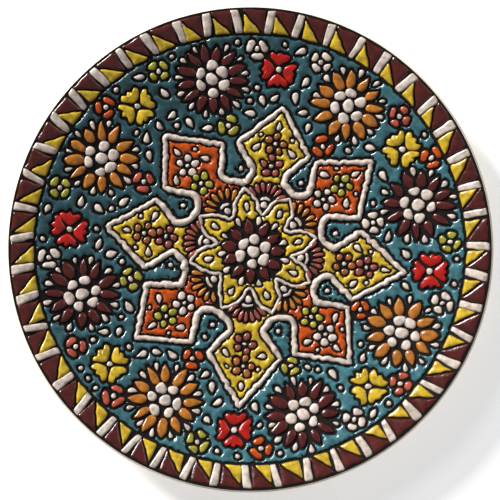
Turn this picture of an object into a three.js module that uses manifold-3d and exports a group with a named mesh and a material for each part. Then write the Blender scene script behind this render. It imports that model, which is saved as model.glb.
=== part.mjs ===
// A round decorative plate of glazed earthenware, lying face up on its foot ring.
// Sizes are millimetres and +Z is up. The origin is the middle of the foot ring, on the surface
// that the plate stands on, and +Y is the side that hangs uppermost when the plate is on a wall.
// The whole plate is one fired piece. Its ornament is piped on in thick glaze that stands proud
// of the clay: a border of bars and triangles, a ring of eight pointed medallions round an
// eight-pointed star, daisies, four-petalled flowers and small blossoms.

import * as THREE from "three";
import { mergeVertices } from "three/addons/utils/BufferGeometryUtils.js";
import Module from "manifold-3d";

const wasm = await Module();
wasm.setup();

// The clay body
const PLATE_DIAMETER = 250;
const BODY_THICKNESS = 6; // in the middle of the plate
const EDGE_THICKNESS = 5; // at the rim
const EDGE_ROUNDING = 1.4;
const DISH_DEPTH = 15; // from the middle of the dish up to the rim
const DISH_POWER = 2.6; // flat in the middle, and steeper towards the rim
const DISH_STEPS = [0.29, 0.565, 0.74, 0.885]; // shares of the plate's radius

// The foot ring and the two holes in it for a hanging cord
const FOOT_OUTER_DIAMETER = 144;
const FOOT_WIDTH = 8;
const FOOT_BEVEL = 1;
const RECESS_DEPTH = 3.5; // from the foot's sole up to the underside, in the middle
const CORD_HOLE_DIAMETER = 3;
const CORD_HOLE_HEIGHT = 3.7;
const CORD_HOLE_ANGLE = 14; // degrees to either side of +Y
const CORD_HOLE_SIDES = 8;

// The glaze that stands proud of the clay
const RELIEF = 1.1;
const ROOT = 1.5; // how deep a piped shape is rooted in the body
const LINE = 1; // the bare dark line between two colours
const SLIVER = 0.04; // a detail smaller than this is smoothed away

// The border
const BORDER_CELLS = 47;
const BORDER_TURN = 1; // degrees from +X to the first bar
const BORDER_WIDTH = 11.4;
const BORDER_MARGIN = 2.2; // from the plate's edge to the border
const BAR_WIDTH = 4.6;

// The field inside the border. The ornament's own sizes are shares of the field's radius.
const FIELD_RADIUS = PLATE_DIAMETER / 2 - BORDER_MARGIN - BORDER_WIDTH - LINE;
const FOLD = 8;
const MEDALLION_TURN = 36.8; // degrees from +X to the first medallion's axis
const DAISY_TURN = 14.3; // degrees from +X to the first daisy

const MEDALLION = {
  tip: [0.707, 0],
  shoulder: [0.517, 0.168],
  shoulderPull: [0.466, 0.16],
  waistPull: [0.433, 0.085],
  waist: [0.383, 0.089],
  pocketPull: [0.33, 0.091],
  pocketRadius: 0.325,
  ribbon: 0.025,
  edgeSteps: 2,
  neckSteps: 3,
  pocketSteps: 1,
};
const STAR = { tip: 0.305, valley: 0.178, ribbon: 0.019 };
const DAISY = {
  ring: 0.812,
  reach: 0.17,
  petals: 12,
  petalLength: 0.086,
  petalWidth: 0.036,
  beads: 6,
  beadRing: 0.061,
  bead: 0.043,
  heart: 0.056,
  beadSides: 4,
};
const FOUR_PETAL = { ring: 0.853, reach: 0.089, inner: 0.03, heart: 0.03, gap: 0.011 };
const BLOSSOM = {
  outerRing: 0.926,
  outerTurns: [8.3, -9.4], // degrees to either side of a medallion's axis
  innerRing: 0.596,
  petals: 3,
  reach: 0.047,
  notch: 0.022,
};
const POSY = { rings: [0.505, 0.415], size: 0.088, petals: 5 }; // two in each medallion

const PLATE_RADIUS = PLATE_DIAMETER / 2;
const BORDER_OUTER = PLATE_RADIUS - BORDER_MARGIN;
const BORDER_INNER = BORDER_OUTER - BORDER_WIDTH;
const BORDER_MIDDLE = (BORDER_OUTER + BORDER_INNER) / 2;
const degrees = THREE.MathUtils.degToRad;

// The height of the dish's upper face at a distance from the middle.
function dishHeight(radius) {
  return RECESS_DEPTH + BODY_THICKNESS + DISH_DEPTH * (radius / PLATE_RADIUS) ** DISH_POWER;
}

// The height of the underside, where the wall thins a little towards the rim.
function undersideHeight(radius) {
  const wall = THREE.MathUtils.lerp(BODY_THICKNESS, EDGE_THICKNESS, radius / PLATE_RADIUS);
  return dishHeight(radius) - wall;
}

// A closed mesh as a solid that can be joined and cut.
function solidOf(geometry) {
  const bare = geometry.clone();
  bare.deleteAttribute("normal");
  bare.deleteAttribute("uv");
  const merged = mergeVertices(bare, 1e-3);
  const corners = [];
  for (let i = 0; i < merged.index.count; i += 3) {
    const [a, b, c] = [0, 1, 2].map((k) => merged.index.getX(i + k));
    if (a !== b && b !== c && c !== a) corners.push(a, b, c);
  }
  return new wasm.Manifold(
    new wasm.Mesh({
      numProp: 3,
      vertProperties: merged.attributes.position.array,
      triVerts: new Uint32Array(corners),
    }),
  );
}

function geometryOf(solid) {
  const mesh = solid.getMesh();
  const geometry = new THREE.BufferGeometry();
  geometry.setAttribute("position", new THREE.BufferAttribute(mesh.vertProperties, mesh.numProp));
  geometry.setIndex(new THREE.BufferAttribute(mesh.triVerts, 1));
  return geometry;
}

// The turned body: the underside with its foot ring, the rounded edge and the dish. It has one
// flat side for each cell of the border, and two sides meet in the dark line before a bar.
function clayBody() {
  const footOuter = FOOT_OUTER_DIAMETER / 2;
  const footInner = footOuter - FOOT_WIDTH;
  const rimTop = dishHeight(PLATE_RADIUS);
  const edgeFoot = rimTop - EDGE_THICKNESS;
  const profile = [
    [0, undersideHeight(0)],
    [footInner, undersideHeight(footInner)],
    [footInner, FOOT_BEVEL],
    [footInner + FOOT_BEVEL, 0],
    [footOuter - FOOT_BEVEL, 0],
    [footOuter, FOOT_BEVEL],
    [footOuter, undersideHeight(footOuter)],
    [(footOuter + PLATE_RADIUS) / 2, undersideHeight((footOuter + PLATE_RADIUS) / 2)],
    [PLATE_RADIUS - EDGE_ROUNDING, edgeFoot],
    [PLATE_RADIUS, edgeFoot + EDGE_ROUNDING],
  ];
  for (const turn of [0, 50, 90]) {
    const across = EDGE_ROUNDING * (1 - Math.cos(degrees(turn)));
    const down = EDGE_ROUNDING * (1 - Math.sin(degrees(turn)));
    profile.push([PLATE_RADIUS - across, rimTop - down]);
  }
  for (const share of [...DISH_STEPS].reverse()) {
    profile.push([share * PLATE_RADIUS, dishHeight(share * PLATE_RADIUS)]);
  }
  profile.push([0, dishHeight(0)]);
  const points = profile.map(([radius, height]) => new THREE.Vector2(radius, height));
  const turned = new THREE.LatheGeometry(points, BORDER_CELLS).rotateX(Math.PI / 2);
  const firstSide = Math.PI / 2 + degrees(BORDER_TURN) - (BAR_WIDTH + LINE) / 2 / BORDER_MIDDLE;
  return solidOf(turned.rotateZ(firstSide));
}

// A hole bored through the foot ring, from outside to inside.
function cordHole(side) {
  const radius = CORD_HOLE_DIAMETER / 2;
  const length = FOOT_WIDTH * 2;
  const bore = new THREE.CylinderGeometry(radius, radius, length, CORD_HOLE_SIDES);
  bore.translate(0, (FOOT_OUTER_DIAMETER - FOOT_WIDTH) / 2, CORD_HOLE_HEIGHT);
  bore.rotateZ(degrees(side * CORD_HOLE_ANGLE));
  return solidOf(bore);
}

// A raised shape with the given outline, which follows the dish.
function piped(outline, holes = []) {
  const shape = new THREE.Shape(outline);
  shape.holes = holes.map((hole) => new THREE.Path(hole));
  const raised = new THREE.ExtrudeGeometry(shape, { depth: ROOT + RELIEF, bevelEnabled: false });
  const place = raised.attributes.position;
  for (let i = 0; i < place.count; i += 1) {
    const onDish = dishHeight(Math.hypot(place.getX(i), place.getY(i)));
    place.setZ(i, place.getZ(i) - ROOT + onDish);
  }
  return solidOf(raised);
}

const polar = (radius, angle) => new THREE.Vector2(radius * Math.cos(angle), radius * Math.sin(angle));

// Points given round a motif's own middle, turned and carried to their place.
function placed(points, middle, turn) {
  return points.map((point) => point.clone().rotateAround(new THREE.Vector2(), turn).add(middle));
}

// A petal along X, pointed at both tips and broadest nearer to the outer one.
function petalOutline(length, width) {
  return [
    [-length / 2, 0],
    [length / 8, -width / 2],
    [length / 2, 0],
    [length / 8, width / 2],
  ].map(([x, y]) => new THREE.Vector2(x, y));
}

function roundOutline(diameter, sides) {
  return Array.from({ length: sides }, (_, i) => polar(diameter / 2, (i * 2 * Math.PI) / sides));
}

// A convex outline drawn in by a margin on every side.
function drawnIn(outline, margin) {
  const count = outline.length;
  const sides = outline.map((from, i) => {
    const along = outline[(i + 1) % count].clone().sub(from).normalize();
    const inward = new THREE.Vector2(-along.y, along.x);
    return { start: from.clone().addScaledVector(inward, margin), along };
  });
  return sides.map((side, i) => {
    const before = sides[(i + count - 1) % count];
    const gap = side.start.clone().sub(before.start);
    const reach = gap.cross(side.along) / before.along.cross(side.along);
    return before.start.clone().addScaledVector(before.along, reach);
  });
}

// One cell of the border: a bar, and beside it a rectangle parted by its diagonal.
function borderCell(index) {
  const step = (2 * Math.PI) / BORDER_CELLS;
  const barTurn = BAR_WIDTH / BORDER_MIDDLE;
  const lineTurn = LINE / BORDER_MIDDLE;
  const start = degrees(BORDER_TURN) - barTurn / 2 + index * step;
  const inside = (angle) => polar(BORDER_INNER, angle);
  const outside = (angle) => polar(BORDER_OUTER, angle);
  const barEnd = start + barTurn;
  const cellStart = barEnd + lineTurn / 2;
  const cellEnd = start + step - lineTurn / 2;
  const outerTriangle = [inside(cellStart), outside(cellStart), outside(cellEnd)];
  const innerTriangle = [inside(cellStart), outside(cellEnd), inside(cellEnd)];
  return [
    piped([inside(start), outside(start), outside(barEnd), inside(barEnd)]),
    piped(drawnIn(outerTriangle, LINE / 2)),
    piped(drawnIn(innerTriangle, LINE / 2)),
  ];
}

// The line round all the medallions, as one closed path, at the middle of its ribbon.
function medallionPath() {
  const local = ([along, across]) => new THREE.Vector2(along, across).multiplyScalar(FIELD_RADIUS);
  const pocket = polar(MEDALLION.pocketRadius * FIELD_RADIUS, Math.PI / FOLD);
  const edge = new THREE.LineCurve(local(MEDALLION.tip), local(MEDALLION.shoulder));
  const neck = new THREE.CubicBezierCurve(
    local(MEDALLION.shoulder),
    local(MEDALLION.shoulderPull),
    local(MEDALLION.waistPull),
    local(MEDALLION.waist),
  );
  const hollow = new THREE.QuadraticBezierCurve(
    local(MEDALLION.waist),
    local(MEDALLION.pocketPull),
    pocket,
  );
  const half = [
    ...edge.getPoints(MEDALLION.edgeSteps).slice(0, -1),
    ...neck.getPoints(MEDALLION.neckSteps).slice(0, -1),
    ...hollow.getPoints(MEDALLION.pocketSteps).slice(0, -1),
    pocket,
  ];
  const mirrored = half
    .slice(1, -1)
    .reverse()
    .map((point) => new THREE.Vector2(point.x, -point.y));
  const path = [];
  for (let k = 0; k < FOLD; k += 1) {
    const turn = degrees(MEDALLION_TURN) + (k * 2 * Math.PI) / FOLD;
    path.push(...placed([...mirrored, ...half], new THREE.Vector2(), turn));
  }
  return path;
}

// The star's own line, from tip to valley all the way round.
function starPath() {
  const path = [];
  for (let k = 0; k < FOLD; k += 1) {
    const turn = degrees(DAISY_TURN) + (k * 2 * Math.PI) / FOLD;
    path.push(polar(STAR.tip * FIELD_RADIUS, turn));
    path.push(polar(STAR.valley * FIELD_RADIUS, turn + Math.PI / FOLD));
  }
  return path;
}

// A closed path moved sideways, to its right for a positive distance.
function beside(path, distance) {
  const count = path.length;
  return path.map((point, i) => {
    const before = point.clone().sub(path[(i + count - 1) % count]).normalize();
    const after = path[(i + 1) % count].clone().sub(point).normalize();
    const along = before.clone().add(after).normalize();
    const spread = Math.max(before.dot(along), 0.6);
    return new THREE.Vector2(along.y, -along.x).multiplyScalar(distance / spread).add(point);
  });
}

function ribbon(path, width) {
  return piped(beside(path, width / 2), [beside(path, -width / 2)]);
}

// A daisy: pointed petals round a cluster of beads.
function daisy(middle, turn) {
  const unit = FIELD_RADIUS;
  const pieces = [];
  const petal = petalOutline(DAISY.petalLength * unit, DAISY.petalWidth * unit);
  const petalMiddle = (DAISY.reach - DAISY.petalLength / 2) * unit;
  for (let i = 0; i < DAISY.petals; i += 1) {
    const angle = turn + (i * 2 * Math.PI) / DAISY.petals;
    pieces.push(piped(placed(petal, polar(petalMiddle, angle).add(middle), angle)));
  }
  const bead = roundOutline(DAISY.bead * unit, DAISY.beadSides);
  for (let i = 0; i < DAISY.beads; i += 1) {
    const angle = turn + (i * 2 * Math.PI) / DAISY.beads;
    pieces.push(piped(placed(bead, polar(DAISY.beadRing * unit, angle).add(middle), angle)));
  }
  pieces.push(piped(placed(roundOutline(DAISY.heart * unit, DAISY.beads), middle, turn)));
  return pieces;
}

// A flower of four broad petals, each notched in the middle of its outer edge.
function fourPetalFlower(middle, turn) {
  const { reach, inner, gap } = FOUR_PETAL;
  const widest = 0.72 * reach;
  const petal = [
    [inner, 0],
    [widest, -widest + gap],
    [reach, -0.45 * reach],
    [0.9 * reach, 0],
    [reach, 0.45 * reach],
    [widest, widest - gap],
  ].map(([x, y]) => new THREE.Vector2(x, y).multiplyScalar(FIELD_RADIUS));
  const pieces = [];
  for (let i = 0; i < 4; i += 1) {
    pieces.push(piped(placed(petal, middle, turn + (i * Math.PI) / 2)));
  }
  const heart = roundOutline(FOUR_PETAL.heart * FIELD_RADIUS, DAISY.beadSides);
  pieces.push(piped(placed(heart, middle, turn)));
  return pieces;
}

// A small blossom, whose few short petals run together in the middle.
function blossom(middle, turn) {
  const corners = BLOSSOM.petals * 2;
  const outline = Array.from({ length: corners }, (_, i) => {
    const reach = i % 2 === 0 ? BLOSSOM.reach : BLOSSOM.notch;
    return polar(reach * FIELD_RADIUS, (i * 2 * Math.PI) / corners);
  });
  return piped(placed(outline, middle, turn));
}

// Everything piped in one eighth of the field, about a medallion and the daisy beside it.
function fieldEighth(index) {
  const medallion = degrees(MEDALLION_TURN) + (index * 2 * Math.PI) / FOLD;
  const daisyTurn = degrees(DAISY_TURN) + (index * 2 * Math.PI) / FOLD;
  const outerBlossoms = BLOSSOM.outerTurns.map((turn) => {
    const angle = medallion + degrees(turn);
    return blossom(polar(BLOSSOM.outerRing * FIELD_RADIUS, angle), angle);
  });
  const posies = POSY.rings.map((ring) => {
    const outline = roundOutline(POSY.size * FIELD_RADIUS, POSY.petals);
    return piped(placed(outline, polar(ring * FIELD_RADIUS, medallion), medallion));
  });
  return [
    ...daisy(polar(DAISY.ring * FIELD_RADIUS, daisyTurn), daisyTurn),
    ...fourPetalFlower(polar(FOUR_PETAL.ring * FIELD_RADIUS, medallion), medallion),
    ...outerBlossoms,
    ...posies,
    blossom(polar(BLOSSOM.innerRing * FIELD_RADIUS, daisyTurn), daisyTurn),
  ];
}

function plate() {
  const raised = [
    ribbon(medallionPath(), MEDALLION.ribbon * FIELD_RADIUS),
    ribbon(starPath(), STAR.ribbon * FIELD_RADIUS),
    ...daisy(new THREE.Vector2(), degrees(DAISY_TURN)),
  ];
  for (let i = 0; i < BORDER_CELLS; i += 1) raised.push(...borderCell(i));
  for (let i = 0; i < FOLD; i += 1) raised.push(...fieldEighth(i));
  let body = clayBody();
  for (const side of [-1, 1]) body = body.subtract(cordHole(side));
  for (const shape of raised) body = body.add(shape);
  return body.simplify(SLIVER);
}

const glaze = new THREE.MeshStandardMaterial({ color: 0x3d7f8f, roughness: 0.25, metalness: 0 });
const mesh = new THREE.Mesh(geometryOf(plate()), glaze);
mesh.name = "plate";

const group = new THREE.Group();
group.add(mesh);

export default group;
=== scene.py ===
# %% [markdown]
# # A wall plate with piped enamel
#
# The plate is a shallow dish of fired clay. Its face is painted dark, and thick coloured glazes
# are then piped and flooded onto it, each a small distance from the next, so that the dark ground
# stays bare as a line round every colour. In the kiln each colour rounds off like a drop of water.
#
# The scene works in the same order: the clay, the shapes that are piped one by one, and at the
# end the glazes that are flooded into the cells between them.

# %% The tools and the CAD model
import math
import random

import bmesh
import bpy
from mathutils import Matrix, Vector, geometry, kdtree, noise


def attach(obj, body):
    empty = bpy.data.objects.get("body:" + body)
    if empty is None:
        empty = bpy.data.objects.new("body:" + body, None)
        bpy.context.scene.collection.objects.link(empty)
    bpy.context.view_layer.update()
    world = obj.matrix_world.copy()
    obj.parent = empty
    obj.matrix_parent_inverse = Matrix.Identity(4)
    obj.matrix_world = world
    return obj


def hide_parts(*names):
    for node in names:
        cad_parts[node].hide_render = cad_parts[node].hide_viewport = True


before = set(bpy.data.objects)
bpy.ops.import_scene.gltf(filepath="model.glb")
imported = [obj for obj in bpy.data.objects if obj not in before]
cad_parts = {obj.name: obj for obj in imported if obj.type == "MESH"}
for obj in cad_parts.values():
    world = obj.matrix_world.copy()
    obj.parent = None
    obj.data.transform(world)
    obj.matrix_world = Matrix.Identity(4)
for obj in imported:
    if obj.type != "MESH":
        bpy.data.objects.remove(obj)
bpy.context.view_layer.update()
random.seed(47)

MM = 0.001  # the plate is drawn in millimetres, and Blender works in metres
TURN = 2 * math.pi

# %% [markdown]
# ## The camera
#
# The plate is seen straight on, as a picture on a wall is. It lies on its foot here, so the
# camera hangs over it. A long lens from far away keeps the middle of the dish, which is lower,
# at nearly the same scale as the rim.

# %% A long lens, straight above
LENS = 200.0
SENSOR = 36.0
SEEN_WIDTH = 256.5  # millimetres at the height of the rim
RIM_HEIGHT = 24.0
CAMERA_SHIFT = -0.5  # the plate stands this little above the middle of the picture


def in_scene(name, data):
    made = bpy.data.objects.new(name, data)
    bpy.context.scene.collection.objects.link(made)
    return made


distance = SEEN_WIDTH / SENSOR * LENS
camera_data = bpy.data.cameras.new("camera")
camera_data.lens = LENS
camera_data.sensor_width = SENSOR
camera = in_scene("camera", camera_data)
camera.location = Vector((0.0, CAMERA_SHIFT, RIM_HEIGHT + distance)) * MM
bpy.context.scene.camera = camera
print("camera height in metres:", round(camera.location.z, 3))

# %% [markdown]
# ## Light
#
# A glossy surface shows its shape by what it reflects. One strong soft lamp stands low at the
# upper left, so the relief throws short shadows to the lower right. A weak one higher up puts a
# small highlight on every drop, and a weak one on the right and the pale sky fill the shadows.

# %% Three soft lamps and a pale sky
def lamp(name, place, size, power, colour):
    data = bpy.data.lights.new(name, "AREA")
    data.size = size
    data.energy = power
    data.color = colour
    made = in_scene(name, data)
    made.location = place
    made.rotation_euler = (-Vector(place)).to_track_quat("-Z", "Y").to_euler()


lamp("key", (-1.3, 1.3, 0.85), 0.7, 99.0, (1.0, 0.98, 0.95))
lamp("window", (-0.8, 0.8, 1.15), 0.32, 4.6, (0.98, 0.98, 1.0))
lamp("fill", (1.3, 0.8, 1.0), 1.0, 4.0, (0.97, 0.98, 1.0))

sky = bpy.data.worlds.new("sky")
sky.use_nodes = True
sky.node_tree.nodes["Background"].inputs["Color"].default_value = (0.93, 0.96, 1.0, 1.0)
sky.node_tree.nodes["Background"].inputs["Strength"].default_value = 0.31
bpy.context.scene.world = sky
bpy.context.scene.view_settings.view_transform = "Standard"


# %% [markdown]
# ## Colours and nodes
#
# The colours are written as they would be picked on a screen, so one function turns them to the
# linear values that the renderer works in. One more function adds a node with its settings and
# its links, and every material below is made with it.

# %% Helpers for materials
def linear(code):
    channels = [int(code[i : i + 2], 16) / 255 for i in (1, 3, 5)]
    curved = [c / 12.92 if c <= 0.04045 else ((c + 0.055) / 1.055) ** 2.4 for c in channels]
    return (*curved, 1.0)


def node(tree, kind, settings, links=()):
    made = tree.nodes.new(kind)
    for name, value in settings.items():
        if isinstance(name, int) or name in made.inputs:
            made.inputs[name].default_value = value
        else:
            setattr(made, name, value)
    for name, source in dict(links).items():
        tree.links.new(source, made.inputs[name])
    return made


def new_material(name):
    made = bpy.data.materials.new(name)
    made.use_nodes = True
    tree = made.node_tree
    place = node(tree, "ShaderNodeTexCoord", {})
    return made, tree, tree.nodes["Principled BSDF"], place.outputs["Object"]


# %% [markdown]
# ## The glazes
#
# Enamel glaze is coloured glass, so it is shiny and has the refraction of glass. Where it is
# thick it shows its full colour, and where it thins out at its edge the dark ground shows
# through. Each coat therefore carries its own thickness as an attribute, and the material
# darkens with it, which is partly that and partly painted shade on the rounded edges. The
# colour also clouds a little over a few millimetres, and the surface has the faint unevenness
# that is left when a bead of glaze melts. The teal is also painted darker towards the upper
# left and lighter towards the lower right across the whole dish: painted shade and painted light.

# %% The enamel material
CLOUD_SIZE = 3.2  # millimetres
DIMPLE_SIZE = 2.2
GLASS_IOR = 1.52
# The way across the dish along which a colour is painted from shade to light.
PAINTED_SHADE_WAY = (0.707, -0.707, 0.0)


def enamel(name, full, thin_and_shaded, roughness=0.22, drift=(1.0, 1.0)):
    made, tree, surface, place = new_material(name)
    # The colour darkens where the glaze thins at its rounded edge: partly the dark ground showing
    # through, partly painted shade.
    depth = node(tree, "ShaderNodeAttribute", {"attribute_name": "thickness"})
    thinning_and_shade = node(
        tree,
        "ShaderNodeMapRange",
        {"From Min": 0.05, "From Max": 0.7, "interpolation_type": "SMOOTHSTEP"},
        {"Value": depth.outputs["Fac"]},
    )
    clouds = node(
        tree, "ShaderNodeTexNoise", {"Scale": 1 / (CLOUD_SIZE * MM), "Detail": 5.0}, {"Vector": place}
    )
    shade = node(
        tree,
        "ShaderNodeMapRange",
        {"From Min": 0.3, "From Max": 0.7, "To Min": 0.6, "To Max": 1.36},
        {"Value": clouds.outputs["Fac"]},
    )
    colour = node(
        tree,
        "ShaderNodeMix",
        {"data_type": "RGBA", 6: linear(thin_and_shaded), 7: linear(full)},
        {0: thinning_and_shade.outputs["Result"]},
    )
    # Painted shade and light: the colour is scaled from drift[0] at the upper left to drift[1] at the
    # lower right.
    apart = node(tree, "ShaderNodeVectorMath", {"operation": "DOT_PRODUCT", 1: PAINTED_SHADE_WAY}, {0: place})
    painted_shade_and_light = node(
        tree,
        "ShaderNodeMapRange",
        {"From Min": -0.08, "From Max": 0.08, "To Min": drift[0], "To Max": drift[1]},
        {"Value": apart.outputs["Value"]},
    )
    both = node(
        tree,
        "ShaderNodeMath",
        {"operation": "MULTIPLY"},
        {0: shade.outputs["Result"], 1: painted_shade_and_light.outputs["Result"]},
    )
    clouded = node(
        tree,
        "ShaderNodeVectorMath",
        {"operation": "SCALE"},
        {0: colour.outputs[2], "Scale": both.outputs["Value"]},
    )
    dimples = node(
        tree, "ShaderNodeTexNoise", {"Scale": 1 / (DIMPLE_SIZE * MM), "Detail": 2.0}, {"Vector": place}
    )
    bump = node(
        tree,
        "ShaderNodeBump",
        {"Strength": 0.45, "Distance": 0.35 * MM},
        {"Height": dimples.outputs["Fac"]},
    )
    surface.inputs["Roughness"].default_value = roughness
    surface.inputs["IOR"].default_value = GLASS_IOR
    tree.links.new(clouded.outputs[0], surface.inputs["Base Color"])
    tree.links.new(bump.outputs["Normal"], surface.inputs["Normal"])
    return made


ENAMELS = {
    # The teal is painted darker at the upper left and lighter at the lower right: painted shade and
    # painted light.
    "teal": enamel("teal_glaze", "#294e55", "#0d1b1f", 0.22, (0.62, 1.5)),
    "white": enamel("white_enamel", "#b0a399", "#54443b", 0.28),
    "maroon": enamel("maroon_enamel", "#40100b", "#180706"),
    "yellow": enamel("yellow_enamel", "#ab8e20", "#43350f"),
    "orange": enamel("orange_enamel", "#9c3c00", "#431a04"),
    "amber": enamel("amber_enamel", "#945a1b", "#3f240a"),
    "red": enamel("red_enamel", "#940c02", "#3c0703"),
    "green": enamel("green_enamel", "#85802c", "#373313"),
    "coral": enamel("coral_enamel", "#91412e", "#3d1c14"),
    "pink": enamel("pink_enamel", "#7a3d33", "#331b17"),
    "brown": enamel("brown_enamel", "#834d24", "#372210"),
}
print("enamels:", sorted(ENAMELS))

# %% [markdown]
# ## The clay and the painted ground
#
# The bare edge and the underside are fired white clay: matt, a little warm, with a fine grain
# and faint smudges from handling. The ground that is painted on the face before glazing is a
# manganese brown, nearly black, with a dull sheen.

# %% Two matt materials
def matt(name, light, dark, roughness, grain, depth, smudge, shine=0.5):
    made, tree, surface, place = new_material(name)
    smudges = node(
        tree, "ShaderNodeTexNoise", {"Scale": 1 / (smudge * MM), "Detail": 5.0}, {"Vector": place}
    )
    spread = node(
        tree,
        "ShaderNodeMapRange",
        {"From Min": 0.35, "From Max": 0.7},
        {"Value": smudges.outputs["Fac"]},
    )
    colour = node(
        tree,
        "ShaderNodeMix",
        {"data_type": "RGBA", 6: linear(light), 7: linear(dark)},
        {0: spread.outputs["Result"]},
    )
    grains = node(
        tree, "ShaderNodeTexNoise", {"Scale": 1 / (grain * MM), "Detail": 4.0}, {"Vector": place}
    )
    bump = node(
        tree,
        "ShaderNodeBump",
        {"Strength": 0.4, "Distance": depth * MM},
        {"Height": grains.outputs["Fac"]},
    )
    surface.inputs["Roughness"].default_value = roughness
    surface.inputs["Specular IOR Level"].default_value = shine
    tree.links.new(colour.outputs[2], surface.inputs["Base Color"])
    tree.links.new(bump.outputs["Normal"], surface.inputs["Normal"])
    return made


# The grain, its depth and the size of the smudges are in millimetres.
clay = matt("fired_white_clay", "#ddd2c2", "#c5b6a3", 0.8, grain=0.8, depth=0.15, smudge=14.0)
ground = matt(
    "painted_manganese_ground", "#0c0605", "#070403", 0.6, grain=1.0, depth=0.12, smudge=6.0, shine=0.15
)
print("matt materials:", clay.name, ground.name)

# %% [markdown]
# ## The dish
#
# The potter turns the plate on a wheel, so its shape is one curve. The face is flat in the
# middle and rises ever more steeply towards the rim, which a power of the radius gives.

# %% The curve of the face
PLATE_RADIUS = 125.0
RECESS_DEPTH = 3.5
BODY_THICKNESS = 6.0
EDGE_THICKNESS = 5.0
EDGE_ROUNDING = 1.4
DISH_DEPTH = 15.0
DISH_POWER = 2.6
FOOT_OUTER = 72.0
FOOT_INNER = 64.0
FOOT_BEVEL = 1.0
CORD_HOLE_RADIUS = 1.5
CORD_HOLE_HEIGHT = 3.7
CORD_HOLE_TURN = math.radians(14.0)
FACE_EDGE = PLATE_RADIUS - EDGE_ROUNDING
GROUND_EDGE = 124.0  # the painted ground ends in a dark line just over the edge


def dish(radius):
    return RECESS_DEPTH + BODY_THICKNESS + DISH_DEPTH * (radius / PLATE_RADIUS) ** DISH_POWER


def underside(radius):
    share = radius / PLATE_RADIUS
    return dish(radius) - BODY_THICKNESS + (BODY_THICKNESS - EDGE_THICKNESS) * share


print("height of the middle and the rim:", dish(0), round(dish(PLATE_RADIUS), 1))

# %% [markdown]
# ## Turning the body
#
# A chain of vertices follows the section from the middle of the face, over the rim, round the
# foot and back to the axis, and spinning it makes the body. The upper faces that lie inside the
# painted ground's edge get the second material.

# %% The section and its spin
FACE_STEPS = 26
WALL_STEPS = 9
RECESS_STEPS = 5
SPIN_STEPS = 192


def rounding(turns, height, way):
    """Points round an edge of the rim, above a height where the way is 1 and below it at -1."""
    points = []
    for slope in map(math.radians, turns):
        across = EDGE_ROUNDING * (1 - math.cos(slope))
        points.append((PLATE_RADIUS - across, height + way * EDGE_ROUNDING * (1 - math.sin(slope))))
    return points


def section():
    face = [FACE_EDGE * i / FACE_STEPS for i in range(FACE_STEPS)]
    points = [(radius, dish(radius)) for radius in face]
    top = dish(PLATE_RADIUS)
    points += rounding((90, 73, 48, 24, 0), top, -1)
    points += rounding((0, 30, 60, 90), top - EDGE_THICKNESS, 1)
    for i in range(1, WALL_STEPS + 1):
        radius = PLATE_RADIUS + (FOOT_OUTER - PLATE_RADIUS) * i / WALL_STEPS
        points.append((radius, underside(radius)))
    points += [(FOOT_OUTER, FOOT_BEVEL), (FOOT_OUTER - FOOT_BEVEL, 0.0)]
    points += [(FOOT_INNER + FOOT_BEVEL, 0.0), (FOOT_INNER, FOOT_BEVEL)]
    for i in range(RECESS_STEPS + 1):
        radius = FOOT_INNER * (1 - i / RECESS_STEPS)
        points.append((radius, underside(radius)))
    return points


body = bmesh.new()
chain = [body.verts.new((radius, 0.0, height)) for radius, height in section()]
edges = [body.edges.new(pair) for pair in zip(chain, chain[1:])]
bmesh.ops.spin(
    body,
    geom=chain + edges,
    cent=(0, 0, 0),
    axis=(0, 0, 1),
    angle=TURN,
    steps=SPIN_STEPS,
    use_merge=True,
)
bmesh.ops.remove_doubles(body, verts=body.verts, dist=0.01)
bmesh.ops.recalc_face_normals(body, faces=body.faces)
for face in body.faces:
    middle = face.calc_center_median()
    face.smooth = True
    face.material_index = int(middle.xy.length < GROUND_EDGE and face.normal.z > 0.5)
print("body faces:", len(body.faces))


# %% [markdown]
# ## From a mesh to a piece
#
# Every mesh below is drawn in millimetres. One function writes it out in metres, gives it its
# materials, and says which CAD solid it stands for.

# %% Writing out a piece
def piece(name, mesh, materials):
    bmesh.ops.scale(mesh, vec=(MM, MM, MM), verts=mesh.verts)
    data = bpy.data.meshes.new(name)
    mesh.to_mesh(data)
    mesh.free()
    made = in_scene(name, data)
    for material in materials:
        data.materials.append(material)
    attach(made, "root")
    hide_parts("plate")
    data.calc_loop_triangles()
    print(name, "triangles:", len(data.loop_triangles))
    return made


plate_body = piece("plate_body", body, [clay, ground])

# %% [markdown]
# ## The cord holes
#
# A plate for the wall has a pair of small holes through its foot ring, and a cord through them.
# Two short rods are cut out of the ring near the side that hangs uppermost.

# %% Boring the foot ring
rods = bmesh.new()
for side in (-1, 1):
    angle = TURN / 4 + side * CORD_HOLE_TURN
    lying = Matrix.Rotation(angle, 4, "Z") @ Matrix.Rotation(TURN / 4, 4, "Y")
    lift = Matrix.Translation((0, 0, CORD_HOLE_HEIGHT))
    along = Matrix.Translation((0, 0, (FOOT_OUTER + FOOT_INNER) / 2))
    bmesh.ops.create_cone(
        rods,
        cap_ends=True,
        segments=20,
        radius1=CORD_HOLE_RADIUS,
        radius2=CORD_HOLE_RADIUS,
        depth=2 * (FOOT_OUTER - FOOT_INNER),
        matrix=lift @ lying @ along,
    )
bmesh.ops.scale(rods, vec=(MM, MM, MM), verts=rods.verts)
rod_data = bpy.data.meshes.new("rods")
rods.to_mesh(rod_data)
rods.free()
rod = in_scene("rods", rod_data)
cut = plate_body.modifiers.new("cord_holes", "BOOLEAN")
cut.object = rod
cut.operation = "DIFFERENCE"
bored = bpy.data.meshes.new_from_object(
    plate_body.evaluated_get(bpy.context.evaluated_depsgraph_get())
)
plate_body.modifiers.clear()
plate_body.data = bored
bpy.data.objects.remove(rod)
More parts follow.
